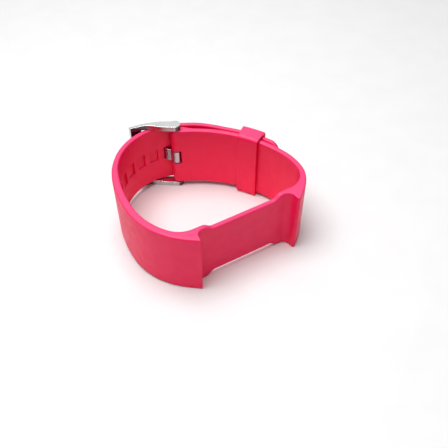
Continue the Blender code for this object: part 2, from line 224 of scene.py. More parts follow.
class WindowSizes(bpy.types.PropertyGroup):
    """Sizes of the strap's size windows."""

    length: size_setting("Length", "Along the strap", 2.9)
    height: size_setting("Height", "Across the strap", 5.2)
    corner: size_setting("Corner", "Corner radius in outline", 0.45)
    depth: size_setting("Depth", "Depth of a blind window", 0.55)
    mouth: size_setting("Mouth", "Softened lip at the surface", 0.22)
    pitch: size_setting("Pitch", "Distance between windows", 4.9)


class BuckleSizes(bpy.types.PropertyGroup):
    """Sizes of the steel buckle and its spring bar."""

    side_bar: size_setting("Side bar", "Width of a side bar across the strap", 1.7)
    edge: size_setting("Edge", "Rounding of the frame's edges", 0.3)
    tongue_half: size_setting("Tongue half width", "Half of the tongue's width", 2.35)
    tongue_thickness: size_setting("Tongue thickness", "Thickness of the tongue's strip", 0.6)
    tongue_loop: size_setting("Tongue loop", "Centreline radius of the curl round the bar", 1.1)
    rest_half: size_setting("Rest half width", "Half of the tongue's rest in the far bar", 2.75)
    spring_turns: IntProperty(
        name="Spring turns", description="Turns of the bar's coil spring", default=15
    )
    spring_wire: size_setting("Spring wire", "Radius of the spring's wire", 0.1)
    spring_radius: size_setting("Spring radius", "Radius of the spring's coil", 0.38)


class Finishes(bpy.types.PropertyGroup):
    """Colours of the band's finishes, with the painted sheen on the strap's edges and the painted
    shade on the frame's wrist side.
    """

    silicone: colour_setting("Silicone", "Pigment of the strap's faces", (0.9, 0.002, 0.078))
    # Painted sheen: the faces along Z, the strap's long edges, take this paler, pinker colour for
    # the sheen of the overhead light.
    silicone_painted_sheen: colour_setting(
        "Painted edge sheen", "Painted sheen: paler tone of the strap's long edges", (0.8, 0.045, 0.165)
    )
    steel: colour_setting("Buckle steel", "Colour of the polished buckle", (0.68, 0.69, 0.68))
    tongue_steel: colour_setting("Tongue steel", "Colour of the buckle's tongue", (0.5, 0.45, 0.48))
    # Painted shade: a dark colour on the frame's wrist side that stands in for its shade and dark
    # reflections.
    steel_painted_shade: colour_setting(
        "Painted shade on steel", "Painted shade and dark reflection on the frame's wrist side", (0.1, 0.075, 0.085)
    )
    bar_steel: colour_setting("Bar steel", "Colour of the satin spring bar", (0.6, 0.6, 0.6))
    spring_steel: colour_setting("Spring steel", "Colour of the coil spring", (0.45, 0.45, 0.46))


class StageSettings(bpy.types.PropertyGroup):
    """Floor, lights and camera."""

    floor_colour: colour_setting("Floor", "Colour of the pale floor", (0.775, 0.775, 0.781))
    sky: FloatProperty(
        name="Sky",
        description="Strength of the white surroundings overhead",
        default=0.4,
        min=0.0,
    )
    horizon: FloatProperty(
        name="Horizon",
        description="Strength of the surroundings low down",
        default=0.13,
        min=0.0,
    )
    overhead: FloatProperty(
        name="Overhead",
        description="Power of the softbox overhead",
        default=2.3,
        subtype="POWER",
    )
    back: FloatProperty(
        name="Back",
        description="Power of the softbox behind the band",
        default=0.25,
        subtype="POWER",
    )
    azimuth: FloatProperty(
        name="Azimuth",
        description="Camera's bearing round the band",
        default=math.radians(-30.1),
        subtype="ANGLE",
    )
    elevation: FloatProperty(
        name="Elevation",
        description="Camera's height as an angle",
        default=math.radians(48.0),
        subtype="ANGLE",
    )
    distance: size_setting("Distance", "Camera's distance from the band", 194.2)
    lens: FloatProperty(name="Lens", description="Focal length in millimetres", default=48.13)


def smoothstep(value):
    value = min(max(value, 0.0), 1.0)
    return value * value * (3 - 2 * value)


def bearing(degrees):
    """Plan vector of length 1 at an angle from +X."""
    turn = math.radians(degrees)
    return Vector((math.cos(turn), math.sin(turn)))


def spread(first, last, step):
    """Evenly spaced values from first to last, no further apart than step."""
    count = max(1, math.ceil(abs(last - first) / step))
    return [first + (last - first) * i / count for i in range(count + 1)]


def along(start, heading, arcs, distance):
    """Point and heading (radians) at a distance along a chain of tangent arcs."""
    point = Vector(start)
    heading = math.radians(heading)
    for radius, turn in arcs:
        bend = math.copysign(1.0 / radius, turn)
        step = min(distance, radius * math.radians(abs(turn)))
        after = heading + bend * step
        onward = math.sin(after) - math.sin(heading)
        sideways = math.cos(heading) - math.cos(after)
        point += Vector((onward, sideways)) / bend
        heading = after
        distance -= step
        if distance <= 0:
            break
    point += distance * Vector((math.cos(heading), math.sin(heading)))
    return point, heading


def chain_length(arcs):
    return sum(radius * math.radians(abs(turn)) for radius, turn in arcs)


def on_buckle_arm(distance, offset=0.0):
    """Point at an outward offset from the buckle arm's wrist side."""
    point, heading = along((BUCKLE_START_X, WRIST_LINE_Y), 0, BUCKLE_ARCS, distance)
    return point + offset * Vector((math.sin(heading), -math.cos(heading)))


def on_holed_curve(distance):
    """Point on the curved first stretch of the holed arm's wrist side."""
    return along((HOLED_START_X, WRIST_LINE_Y), 180, HOLED_ARCS, distance)[0]


PLAN_ORIGIN = PIVOT - on_buckle_arm(PIVOT_AT, PIVOT_RADIUS).to_3d()


def placed(point):
    """A plan point with its height, where the frame has it."""
    return Vector(point) + PLAN_ORIGIN


def hermite(a, toward_a, b, toward_b, t):
    """Cubic from a to b with the given end tangents."""
    return (
        a * (2 * t**3 - 3 * t**2 + 1)
        + toward_a * (t**3 - 2 * t**2 + t)
        + b * (3 * t**2 - 2 * t**3)
        + toward_b * (t**3 - t**2)
    )


def through(points, pieces):
    """A smooth line through plan points, with this many pieces between neighbours."""
    points = [Vector(point) for point in points]
    line = []
    for i, (here, there) in enumerate(zip(points, points[1:])):
        leaving = (there - points[max(i - 1, 0)]) / 2
        arriving = (points[min(i + 2, len(points) - 1)] - here) / 2
        line += [hermite(here, leaving, there, arriving, k / pieces) for k in range(pieces)]
    return line + [points[-1]]


def with_outward(points):
    """(distance, point, outward normal) along a line that has its outside on the left."""
    rows = []
    distance = 0.0
    for i, point in enumerate(points):
        if i:
            distance += (point - points[i - 1]).length
        before = points[max(i - 1, 0)]
        after = points[min(i + 1, len(points) - 1)]
        tangent = (after - before).normalized()
        rows.append((distance, point, Vector((-tangent.y, tangent.x))))
    return rows


def holed_line(strap, step):
    """Wrist-side points of the holed arm, from its shoulder to the tail's tip."""

    def tail_point(distance):
        lift = strap.tail_lift * smoothstep((distance - TAIL_LIFT_FROM) / TAIL_LIFT_LENGTH)
        return on_buckle_arm(distance, strap.buckle_thickness + strap.tail_gap + lift)

    points = [on_holed_curve(s) for s in spread(0, chain_length(HOLED_ARCS), step)]
    rounding = TAIL_TIP_AT + strap.tip_corner
    tail = [tail_point(s) for s in spread(TAIL_LEAVES_AT, rounding, step)]
    tail += [tail_point(s) for s in spread(rounding, TAIL_TIP_AT, step / 4)[1:]]
    leaving = (points[-1] - points[-2]).normalized()
    arriving = (tail[1] - tail[0]).normalized()
    gap = (tail[0] - points[-1]).length
    bridge = spread(0, 1, step / gap)[1:-1]
    points += [hermite(points[-1], leaving * gap, tail[0], arriving * gap, t) for t in bridge]
    return points + tail


def holed_thickness(strap, distance):
    taper = max(0.0, 1 - distance / SHOULDER_TAPER) ** 3
    first = smoothstep((distance - THINNING_FROM) / THINNING_LENGTH)
    second = smoothstep((distance - TAIL_THINNING_FROM) / THINNING_LENGTH)
    thinner = (strap.holed_thickness - strap.window_thickness) * first
    thinner += (strap.window_thickness - strap.tail_thickness) * second
    return strap.holed_thickness - thinner + strap.holed_shoulder * taper


def end_inset(distance, radius):
    """How far a rounded end has drawn in at this distance from its very end."""
    if distance >= radius:
        return 0.0
    return radius - math.sqrt(radius**2 - (radius - distance) ** 2)


def holed_stations(strap):
    """(inner point, outer point, half height) from the tail's tip to the left shoulder."""
    rows = with_outward(holed_line(strap, STATION_STEP))
    total = rows[-1][0]
    stations = []
    for distance, point, outward in rows:
        if point.x > -SEAT_HALF_LENGTH - STATION_STEP and distance < SHOULDER_TAPER:
            continue
        to_tip = total - distance
        round_end = TAIL_END_SHARE * end_inset(to_tip, TAIL_END_ROUNDING)
        outer = point + outward * (holed_thickness(strap, distance) - round_end)
        half = STRAP_WIDTH / 2 - end_inset(to_tip, strap.tip_corner)
        stations.append((point + outward * round_end, outer, half))
    return stations[::-1]


def seat_stations(strap):
    """Stations of the tracker seat, from the left shoulder's corner to the right one's."""
    cove_x = SEAT_HALF_LENGTH - SEAT_COVE - COVE_SETBACK
    wrist_end = SEAT_HALF_LENGTH - SEAT_CORNER_LEAN

    def half(x):
        widening = smoothstep((abs(x) - WEB_FLAT_HALF) / WEB_BLEND)
        return STRAP_WIDTH / 2 - strap.web_inset * (1 - widening)

    right = []
    for x in spread(0, cove_x, STATION_STEP):
        right.append((Vector((x, WRIST_LINE_Y)), Vector((x, SEAT_FACE_Y)), half(x)))
    cove_centre = Vector((cove_x, SEAT_FACE_Y - SEAT_COVE))
    for angle in spread(0, COVE_TURN, 5)[1:]:
        turn = math.radians(angle)
        outer = cove_centre + SEAT_COVE * Vector((math.sin(turn), math.cos(turn)))
        x = cove_x + (wrist_end - COVE_END_GAP - cove_x) * angle / COVE_TURN
        right.append((Vector((x, WRIST_LINE_Y)), outer, half(x)))
    inner, outer, _ = right[-1]
    corner_inner, corner = Vector((wrist_end, WRIST_LINE_Y)), Vector((SEAT_HALF_LENGTH, 0.0))
    for t in (0.5, 1.0):
        right.append((inner.lerp(corner_inner, t), outer.lerp(corner, t), STRAP_WIDTH / 2))
    flip = Vector((-1, 1))
    left = [(inner * flip, outer * flip, height) for inner, outer, height in right[:0:-1]]
    return left + right


def buckle_stations(strap):
    """Stations of the buckle arm, from the right shoulder to its rounded end at the spring bar."""
    last = PIVOT_AT + PIVOT_RADIUS - ARM_END_FLAT
    stations = []
    distances = spread(0, PIVOT_AT, STATION_STEP) + spread(PIVOT_AT, last, STATION_STEP / 5)[1:]
    for s in distances:
        taper = max(0.0, 1 - s / SHOULDER_TAPER) ** 3
        thickness = strap.buckle_thickness + strap.buckle_shoulder * taper
        thickening = smoothstep((s - PIVOT_AT + THICKENING_BEFORE) / THICKENING_LENGTH)
        thickness += (2 * PIVOT_RADIUS - strap.buckle_thickness) * thickening
        past = max(0.0, s - PIVOT_AT)
        drawn_in = PIVOT_RADIUS - math.sqrt(PIVOT_RADIUS**2 - past**2)
        inner, outer = on_buckle_arm(s, drawn_in), on_buckle_arm(s, thickness - drawn_in)
        stations.append((inner, outer, STRAP_WIDTH / 2 - drawn_in))
    return stations


def corner_rounded(stations, at, reach, pieces):
    """The stations with the sharp outer corner at one of them rounded over a reach to each side."""
    inner, corner, half = stations[at]

    def towards(other):
        share = min(0.9, reach / (other[1] - corner).length)
        return inner.lerp(other[0], share), corner.lerp(other[1], share)

    first_inner, first = towards(stations[at - 1])
    last_inner, last = towards(stations[at + 1])
    arc = []
    for i in range(pieces + 1):
        t = i / pieces
        outer = first * (1 - t) ** 2 + corner * 2 * t * (1 - t) + last * t**2
        arc.append((first_inner.lerp(last_inner, t), outer, half))
    return stations[:at] + arc + stations[at + 1 :]


def rounded_rectangle(width, height, radius, steps):
    """Outline points (u, v), u from 0 to width and v about 0, anticlockwise."""
    radius = min(radius, 0.45 * width, 0.45 * height)
    corners = (
        (width - radius, height / 2 - radius, 0),
        (radius, height / 2 - radius, 90),
        (radius, radius - height / 2, 180),
        (width - radius, radius - height / 2, 270),
    )
    outline = []
    for u, v, first in corners:
        for i in range(steps + 1):
            angle = math.radians(first + 90 * i / steps)
            outline.append((u + radius * math.cos(angle), v + radius * math.sin(angle)))
    return outline


def disc(radius, sides, z, centre=(0, 0)):
    angles = [2 * math.pi * i / sides for i in range(sides)]
    return [(centre[0] + radius * math.cos(a), centre[1] + radius * math.sin(a), z) for a in angles]


def scaled(outline):
    """Plan points given in millimetres, as metres."""
    return [Vector(point) * MM for point in outline]


def prism(outline, low, high):
    """Rings of an upright prism over a plan outline."""
    return [[(*point, low) for point in outline], [(*point, high) for point in outline]]


def loft(rings, name, origin=PLAN_ORIGIN):
    """Object with a closed mesh through rings of equal length, capped at both ends."""
    shape = bmesh.new()
    loops = [[shape.verts.new(origin + Vector(point)) for point in points] for points in rings]
    size = len(loops[0])
    for first, second in zip(loops, loops[1:]):
        for i in range(size):
            j = (i + 1) % size
            shape.faces.new((first[i], first[j], second[j], second[i]))
    shape.faces.new(loops[0][::-1])
    shape.faces.new(loops[-1])
    return made(shape, name)


def turned(profile, sides, name):
    """Object turned about the spring bar's axis from a closed (radius, z) profile."""
    shape = bmesh.new()
    rings = []
    for i in range(sides):
        out = bearing(360 * i / sides).to_3d()
        points = [PIVOT + radius * out + Vector((0, 0, z)) for radius, z in profile]
        rings.append([shape.verts.new(point) for point in points])
    for first, second in zip(rings, rings[1:] + rings[:1]):
        for i in range(len(profile)):
            shape.faces.new((first[i - 1], first[i], second[i], second[i - 1]))
    return made(shape, name)


def linked(name, data):
    """A new object with this data, in the scene."""
    thing = bpy.data.objects.new(name, data)
    bpy.context.collection.objects.link(thing)
    return thing


def made(shape, name):
    """Object from a bmesh, with its faces turned outwards."""
    bmesh.ops.recalc_face_normals(shape, faces=shape.faces)
    mesh = bpy.data.meshes.new(name)
    shape.to_mesh(mesh)
    shape.free()
    return linked(name, mesh)


def plain(thing):
    """Turns an object and its modifiers into one plain mesh."""
    evaluated = thing.evaluated_get(bpy.context.evaluated_depsgraph_get())
    mesh = bpy.data.meshes.new_from_object(evaluated)
    thing.modifiers.clear()
    if thing.type != "MESH":
        name = thing.name
        bpy.data.objects.remove(thing)
        return linked(name, mesh)
    thing.data = mesh
    return thing


def smoothed(thing, angle=40):
    """Shades a finished mesh smooth between its sharp edges, with its broad faces kept flat."""
    shape = bmesh.new()
    shape.from_mesh(thing.data)
    bmesh.ops.remove_doubles(shape, verts=shape.verts, dist=1e-7)
    bmesh.ops.dissolve_degenerate(shape, edges=shape.edges, dist=1e-7)
    shape.to_mesh(thing.data)
    shape.free()
    thing.data.shade_smooth()
    thing.data.set_sharp_from_angle(angle=math.radians(angle))
    even = thing.modifiers.new("flat_faces", "WEIGHTED_NORMAL")
    even.keep_sharp = True
    return plain(thing)


def cut(thing, cutter):
    """Takes one closed shape out of another and removes it."""
    boolean = thing.modifiers.new(cutter.name, "BOOLEAN")
    boolean.operation = "DIFFERENCE"
    boolean.solver = "EXACT"
    boolean.object = cutter
    thing = plain(thing)
    bpy.data.objects.remove(cutter)
    return thing


def finish_piece(piece, body, node, material):
    """Gives a piece its finish, its body and the frame's node that it stands for."""
    piece.data.materials.clear()
    piece.data.materials.append(material)
    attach(piece, body)
    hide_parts(node)


class NodeTree:
    """Adds and joins nodes in one tree."""

    def __init__(self, tree):
        self.tree = tree

    def add(self, kind, **settings):
        node = self.tree.nodes.new(kind)
        for key, value in settings.items():
            setattr(node, key, value)
        return node

    def join(self, source, target):
        self.tree.links.new(source, target)

    def fed(self, kind, feeds, **settings):
        """A node whose inputs are given as sockets to join or as plain values."""
        node = self.add(kind, **settings)
        for key, value in feeds.items():
            if isinstance(value, bpy.types.NodeSocket):
                self.join(value, node.inputs[key])
            else:
                node.inputs[key].default_value = value
        return node

    def math(self, operation, *values):
        feeds = dict(enumerate(values))
        return self.fed("ShaderNodeMath", feeds, operation=operation).outputs[0]


def open_tree(name, kind, inputs, outputs):
    """A new node group with its named sockets: its nodes, what it is given and what it puts out."""
    group = bpy.data.node_groups.new(name, kind)
    for sockets, way in ((inputs, "INPUT"), (outputs, "OUTPUT")):
        for label, sort, default in sockets:
            socket = group.interface.new_socket(
                label, in_out=way, socket_type="NodeSocket" + sort
            )
            if default is not None:
                socket.default_value = default
    nodes = NodeTree(group)
    return nodes, nodes.add("NodeGroupInput").outputs, nodes.add("NodeGroupOutput").inputs


def geometry_tree(name, sizes):
    """A new Geometry Nodes tree that takes a geometry, these sizes and a material."""
    inputs = (("Geometry", "Geometry", None), *sizes, ("Material", "Material", None))
    return open_tree(name, "GeometryNodeTree", inputs, (("Geometry", "Geometry", None),))


def grow(thing, group, values):
    """Runs a Geometry Nodes tree on an object, and returns the result as a plain mesh object."""
    modifier = thing.modifiers.new(group.name, "NODES")
    modifier.node_group = group
    for item in group.interface.items_tree:
        if item.in_out == "INPUT" and item.name in values:
            modifier[item.identifier] = values[item.name]
    return plain(thing)


def bar(nodes, thickness, width, corner):
    """Nodes for the outline of a flat bar with rounded edges."""
    feeds = {"Width": thickness, "Height": width}
    outline = nodes.fed("GeometryNodeCurvePrimitiveQuadrilateral", feeds)
    feeds = {"Curve": outline.outputs[0], "Radius": corner, "Count": 5, "Limit Radius": True}
    return nodes.fed("GeometryNodeFilletCurve", feeds, mode="POLY").outputs[0]


def end_tree(nodes, geometry, material, out):
    """Closes a tree: every copy made real, in its own material."""
    real = nodes.fed("GeometryNodeRealizeInstances", {"Geometry": geometry})
    feeds = {"Geometry": real.outputs[0], "Material": material}
    painted = nodes.fed("GeometryNodeSetMaterial", feeds)
    nodes.join(painted.outputs[0], out["Geometry"])


def window_tree():
    """Geometry Nodes: a window-shaped plug with a flared mouth at each point, facing its way."""
    sizes = (
        ("Length", "Float", 0.003),
        ("Height", "Float", 0.006),
        ("Corner", "Float", 0.0004),
        ("Depth", "Float", 0.0006),
        ("Mouth", "Float", 0.0002),
    )
    nodes, given, out = geometry_tree("window_plugs", sizes)
    depth = nodes.fed("ShaderNodeCombineXYZ", {"X": nodes.math("MULTIPLY", given["Depth"], -1.0)})
    clear = nodes.fed("ShaderNodeCombineXYZ", {"X": nodes.math("MULTIPLY", given["Mouth"], 2.0)})
    feeds = {"Start": depth.outputs[0], "End": clear.outputs[0]}
    axis = nodes.fed("GeometryNodeCurvePrimitiveLine", feeds)
    axis = nodes.fed("GeometryNodeResampleCurve", {"Curve": axis.outputs[0], "Count": 16})
    place = nodes.add("GeometryNodeInputPosition")
    x = nodes.fed("ShaderNodeSeparateXYZ", {"Vector": place.outputs[0]}).outputs["X"]
    lip = nodes.math("DIVIDE", nodes.math("ADD", x, given["Mouth"]), given["Mouth"])
    flare = nodes.math("POWER", nodes.math("MAXIMUM", lip, 0.0), 2.0)
    growth = nodes.math("DIVIDE", given["Mouth"], given["Length"])
    radius = nodes.math("MULTIPLY_ADD", flare, growth, 1.0)
    feeds = {"Curve": axis.outputs[0], "Radius": radius}
    axis = nodes.fed("GeometryNodeSetCurveRadius", feeds)
    outline = bar(nodes, given["Length"], given["Height"], given["Corner"])
    feeds = {"Curve": axis.outputs[0], "Profile Curve": outline, "Fill Caps": True}
    plug = nodes.fed("GeometryNodeCurveToMesh", feeds)
    turn, reach = (
        nodes.fed("GeometryNodeInputNamedAttribute", {"Name": name}, data_type="FLOAT")
        for name in ("turn", "reach")
    )
    facing = nodes.fed("ShaderNodeCombineXYZ", {"Z": turn.outputs["Attribute"]})
    feeds = {"X": reach.outputs["Attribute"], "Y": 1.0, "Z": 1.0}
    scale = nodes.fed("ShaderNodeCombineXYZ", feeds)
    points = nodes.fed("GeometryNodeMeshToPoints", {"Mesh": given["Geometry"]})
    feeds = {
        "Points": points.outputs[0],
        "Instance": plug.outputs[0],
        "Rotation": facing.outputs[0],
        "Scale": scale.outputs[0],
    }
    plugs = nodes.fed("GeometryNodeInstanceOnPoints", feeds)
    end_tree(nodes, plugs.outputs[0], given["Material"], out)
    return nodes.tree


def keeper_tree():
    """Geometry Nodes: a flat bar swept round the strap, then bent to the closure's curve."""
    sizes = (
        ("Tunnel Thickness", "Float", 0.004),
        ("Tunnel Height", "Float", 0.022),
        ("Tunnel Corner", "Float", 0.0006),
        ("Length", "Float", 0.006),
        ("Wall", "Float", 0.0008),
        ("Edge", "Float", 0.0003),
        ("Curve Radius", "Float", 0.04),
        ("Curve Angle", "Float", 0.0),
        ("Centre", "Vector", None),
    )
    nodes, given, out = geometry_tree("keeper_sweep", sizes)
    wide = nodes.math("ADD", given["Tunnel Thickness"], given["Wall"])
    tall = nodes.math("ADD", given["Tunnel Height"], given["Wall"])
    path = nodes.fed("GeometryNodeCurvePrimitiveQuadrilateral", {"Width": wide, "Height": tall})
    feeds = {
        "Curve": path.outputs[0],
        "Radius": given["Tunnel Corner"],
        "Count": 8,
        "Limit Radius": True,
    }
    path = nodes.fed("GeometryNodeFilletCurve", feeds, mode="POLY")
    path = nodes.fed("GeometryNodeResampleCurve", {"Curve": path.outputs[0], "Count": 180})
    outline = bar(nodes, given["Wall"], given["Length"], given["Edge"])
    outline = nodes.fed("GeometryNodeResampleCurve", {"Curve": outline, "Count": 64}).outputs[0]
    feeds = {"Curve": path.outputs[0], "Profile Curve": outline}
    loop = nodes.fed("GeometryNodeCurveToMesh", feeds)
    place = nodes.add("GeometryNodeInputPosition")
    place = nodes.fed("ShaderNodeSeparateXYZ", {"Vector": place.outputs[0]})
    radius = nodes.math("ADD", place.outputs["X"], given["Curve Radius"])
    swing = nodes.math("DIVIDE", place.outputs["Z"], given["Curve Radius"])
    angle = nodes.math("SUBTRACT", given["Curve Angle"], swing)
    feeds = {
        "X": nodes.math("MULTIPLY", radius, nodes.math("COSINE", angle)),
        "Y": nodes.math("MULTIPLY", radius, nodes.math("SINE", angle)),
        "Z": place.outputs["Y"],
    }
    bent = nodes.fed("ShaderNodeCombineXYZ", feeds)
    feeds = {0: bent.outputs[0], 1: given["Centre"]}
    home = nodes.fed("ShaderNodeVectorMath", feeds, operation="ADD")
    feeds = {"Geometry": loop.outputs[0], "Position": home.outputs[0]}
    loop = nodes.fed("GeometryNodeSetPosition", feeds)
    end_tree(nodes, loop.outputs[0], given["Material"], out)
    return nodes.tree


def strip_tree():
    """Geometry Nodes: a flat strip with rounded edges swept along a flat curve."""
    sizes = (
        ("Thickness", "Float", 0.0007),
        ("Width", "Float", 0.005),
        ("Edge", "Float", 0.0002),
    )
    nodes, given, out = geometry_tree("strip_sweep", sizes)
    outline = bar(nodes, given["Thickness"], given["Width"], given["Edge"])
    feeds = {"Curve": given["Geometry"], "Profile Curve": outline, "Fill Caps": True}
    strip = nodes.fed("GeometryNodeCurveToMesh", feeds)
    end_tree(nodes, strip.outputs[0], given["Material"], out)
    return nodes.tree


def coil_tree():
    """Geometry Nodes: round wire wound about Z from a centre, upwards, or downwards if flipped."""
    sizes = (
        ("Turns", "Float", 7.5),
        ("Coil Radius", "Float", 0.0004),
        ("Wire Radius", "Float", 0.0001),
        ("Length", "Float", 0.0085),
        ("Flip", "Float", 0.0),
        ("Centre", "Vector", None),
    )
    nodes, given, out = geometry_tree("coil_spring", sizes)
    feeds = {
        "Resolution": 28,
        "Rotations": given["Turns"],
        "Start Radius": given["Coil Radius"],
        "End Radius": given["Coil Radius"],
        "Height": given["Length"],
    }
    line = nodes.fed("GeometryNodeCurveSpiral", feeds)
    feeds = {"Resolution": 10, "Radius": given["Wire Radius"]}
    wire = nodes.fed("GeometryNodeCurvePrimitiveCircle", feeds)
    feeds = {"Curve": line.outputs[0], "Profile Curve": wire.outputs[0], "Fill Caps": True}
    coil = nodes.fed("GeometryNodeCurveToMesh", feeds)
    flip = nodes.fed("ShaderNodeCombineXYZ", {"X": given["Flip"]})
    feeds = {
        "Geometry": coil.outputs[0],
        "Translation": given["Centre"],
        "Rotation": flip.outputs[0],
    }
    coil = nodes.fed("GeometryNodeTransform", feeds)
    end_tree(nodes, coil.outputs[0], given["Material"], out)
    return nodes.tree


def grain_group():
    """Shader group: a fine moulded grain over soft unevenness, as a height and a 0 to 1 mask."""
    found = bpy.data.node_groups.get("moulded_grain")
    if found:
        return found
    inputs = (("Grain Size", "Float", 0.0001), ("Stretch", "Vector", None))
    outputs = (("Height", "Float", None), ("Mask", "Float", None))
    nodes, given, out = open_tree("moulded_grain", "ShaderNodeTree", inputs, outputs)
    place = nodes.add("ShaderNodeTexCoord").outputs["Object"]
    feeds = {0: place, 1: given["Stretch"]}
    stretched = nodes.fed("ShaderNodeVectorMath", feeds, operation="MULTIPLY").outputs[0]
    fine_scale = nodes.math("DIVIDE", 1.0, given["Grain Size"])
    feeds = {"Vector": stretched, "Scale": fine_scale, "Detail": 3.0}
    fine = nodes.fed("ShaderNodeTexNoise", feeds)
    broad_scale = nodes.math("MULTIPLY", fine_scale, 0.04)
    feeds = {"Vector": stretched, "Scale": broad_scale, "Detail": 2.0}
    broad = nodes.fed("ShaderNodeTexNoise", feeds)
    height = nodes.math("MULTIPLY_ADD", broad.outputs["Fac"], 0.6, fine.outputs["Fac"])
    nodes.join(height, out["Height"])
    feeds = {"Value": broad.outputs["Fac"], "From Min": 0.35, "From Max": 0.65}
    nodes.join(nodes.fed("ShaderNodeMapRange", feeds).outputs["Result"], out["Mask"])
    return nodes.tree


def facing_tone_group():
    """Shader group: a colour that turns to another on the faces along a direction."""
    found = bpy.data.node_groups.get("facing_tone")
    if found:
        return found
    inputs = (
        ("Face", "Color", None),
        ("Facing", "Color", None),
        ("Direction", "Vector", None),
        ("Other Way", "Float", 1.0),
        ("From", "Float", 0.25),
        ("To", "Float", 0.95),
    )
    outputs = (("Colour", "Color", None),)
    nodes, given, out = open_tree("facing_tone", "ShaderNodeTree", inputs, outputs)
    normal = nodes.add("ShaderNodeTexCoord").outputs["Normal"]
    feeds = {0: normal, 1: given["Direction"]}
    along_it = nodes.fed("ShaderNodeVectorMath", feeds, operation="DOT_PRODUCT").outputs["Value"]
    share = nodes.math("MAXIMUM", along_it, nodes.math("MULTIPLY", along_it, given["Other Way"]))
    feeds = {"Value": share, "From Min": given["From"], "From Max": given["To"]}
    mask = nodes.fed("ShaderNodeMapRange", feeds, interpolation_type="SMOOTHSTEP")
    feeds = {0: mask.outputs["Result"], 6: given["Face"], 7: given["Facing"]}
    mixed = nodes.fed("ShaderNodeMix", feeds, data_type="RGBA")
    nodes.join(mixed.outputs[2], out["Colour"])
    return nodes.tree


def facing_tone(nodes, face, facing, direction, other_way, start, end):
    """Places the facing tone group in a material and returns its colour."""
    tone = nodes.add("ShaderNodeGroup", node_tree=facing_tone_group())
    values = ((*face, 1), (*facing, 1), direction, other_way, start, end)
    for socket, value in zip(tone.inputs, values):
        socket.default_value = value
    return tone.outputs["Colour"]


def material_nodes(name):
    """A new material's tree, with its shader."""
    material = bpy.data.materials.new(name)
    material.use_nodes = True
    nodes = NodeTree(material.node_tree)
    return material, nodes, material.node_tree.nodes["Principled BSDF"]


def ranged(nodes, value, low, high):
    """A 0 to 1 value spread over a range."""
    feeds = {"Value": value, "To Min": low, "To Max": high}
    return nodes.fed("ShaderNodeMapRange", feeds).outputs["Result"]


def coloured(nodes, shader, colour, mask, low, high):
    """Gives a shader its colour, made a little darker or lighter by a 0 to 1 mask."""
    feeds = {"Hue": 0.5, "Value": ranged(nodes, mask, low, high), "Color": colour}
    tone = nodes.fed("ShaderNodeHueSaturation", feeds)
    nodes.join(tone.outputs[0], shader.inputs["Base Color"])


def grained(nodes, shader, size, stretch, strength, depth):
    """Places the grain group in a material, as its bump, and returns its mask."""
    grain = nodes.add("ShaderNodeGroup", node_tree=grain_group())
    grain.inputs["Grain Size"].default_value = size
    grain.inputs["Stretch"].default_value = stretch
    feeds = {"Height": grain.outputs["Height"], "Strength": strength, "Distance": depth}
    bump = nodes.fed("ShaderNodeBump", feeds)
    nodes.join(bump.outputs[0], shader.inputs["Normal"])
    return grain.outputs["Mask"]


def silicone(finishes):
    """Matte pigmented silicone: fine moulded grain, faint unevenness and long edges painted paler
    as painted sheen.
    """
    name = "silicone_finish"
    if name in bpy.data.materials:
        return bpy.data.materials[name]
    material, nodes, shader = material_nodes(name)
    mask = grained(
        nodes, shader, size=0.12 * MM, stretch=(1, 1, 1), strength=0.35, depth=0.012 * MM
    )
    # Faces along +Z and -Z, the long edges, get the paler colour: painted sheen.
    tone = facing_tone(
        nodes,
        finishes.silicone,
        finishes.silicone_painted_sheen,
        direction=(0, 0, 1),
        other_way=-1.0,
        start=0.25,
        end=0.95,
    )
    coloured(nodes, shader, tone, mask, 0.985, 1.015)
    nodes.join(ranged(nodes, mask, 0.5, 0.42), shader.inputs["Roughness"])
    shader.inputs["IOR"].default_value = 1.4
    return material


def steel(name, colour, size, stretch, roughness, inner=None):
    """Steel with fine lengthwise marks; if a second colour is given, the faces on the wrist side
    get it as painted shade.
    """
    if name in bpy.data.materials:
        return bpy.data.materials[name]
    material, nodes, shader = material_nodes(name)
    mask = grained(nodes, shader, size, stretch, strength=0.12, depth=0.004 * MM)
    # Faces towards -Y, the wrist side, take the second colour: painted shade.
    tone = facing_tone(
        nodes,
        colour,
        inner or colour,
        direction=(0.1, -0.995, 0),
        other_way=1.0,
        start=0.7,
        end=0.93,
    )
    coloured(nodes, shader, tone, mask, 0.9, 1.04)
    nodes.join(ranged(nodes, mask, 0.8 * roughness, 1.25 * roughness), shader.inputs["Roughness"])
    shader.inputs["Metallic"].default_value = 1.0
    return material


def window_points(band, windows):
    """Object with a point on both faces at each window, and its turn and reach as attributes."""
    rows = with_outward(holed_line(band, 0.1 * MM))
    places, turns, reaches = [], [], []
    for k in range(-WINDOWS_BEFORE, WINDOWS_AFTER + 1):
        distance = USED_WINDOW_AT + k * windows.pitch
        _, point, outward = min(rows, key=lambda row: abs(row[0] - distance))
        thickness = holed_thickness(band, distance)
        reach = USED_WINDOW_REACH * thickness / windows.depth if k == 0 else 1.0
        for face, way in ((point + outward * thickness, outward), (point, -outward)):
            places.append(placed(face.to_3d()))
            turns.append(math.atan2(way.y, way.x))
            reaches.append(reach)
    mesh = bpy.data.meshes.new("window_points")
    mesh.from_pydata(places, [], [])
    for name, values in (("turn", turns), ("reach", reaches)):
        mesh.attributes.new(name, "FLOAT", "POINT").data.foreach_set("value", values)
    return linked("window_points", mesh)


def notch_cutter(half):
    """The gap for the tongue's curl in the middle of the buckle arm's end."""
    pivot = on_buckle_arm(PIVOT_AT, PIVOT_RADIUS)
    _, heading = along((BUCKLE_START_X, WRIST_LINE_Y), 0, BUCKLE_ARCS, PIVOT_AT)
    onward = Vector((math.cos(heading), math.sin(heading)))
    outward = Vector((math.sin(heading), -math.cos(heading)))
    plan = [pivot + (onward * a + outward * b) * MM for a, b in TONGUE_NOTCH]
    return loft(prism(plan, -half, half), "tongue_notch")


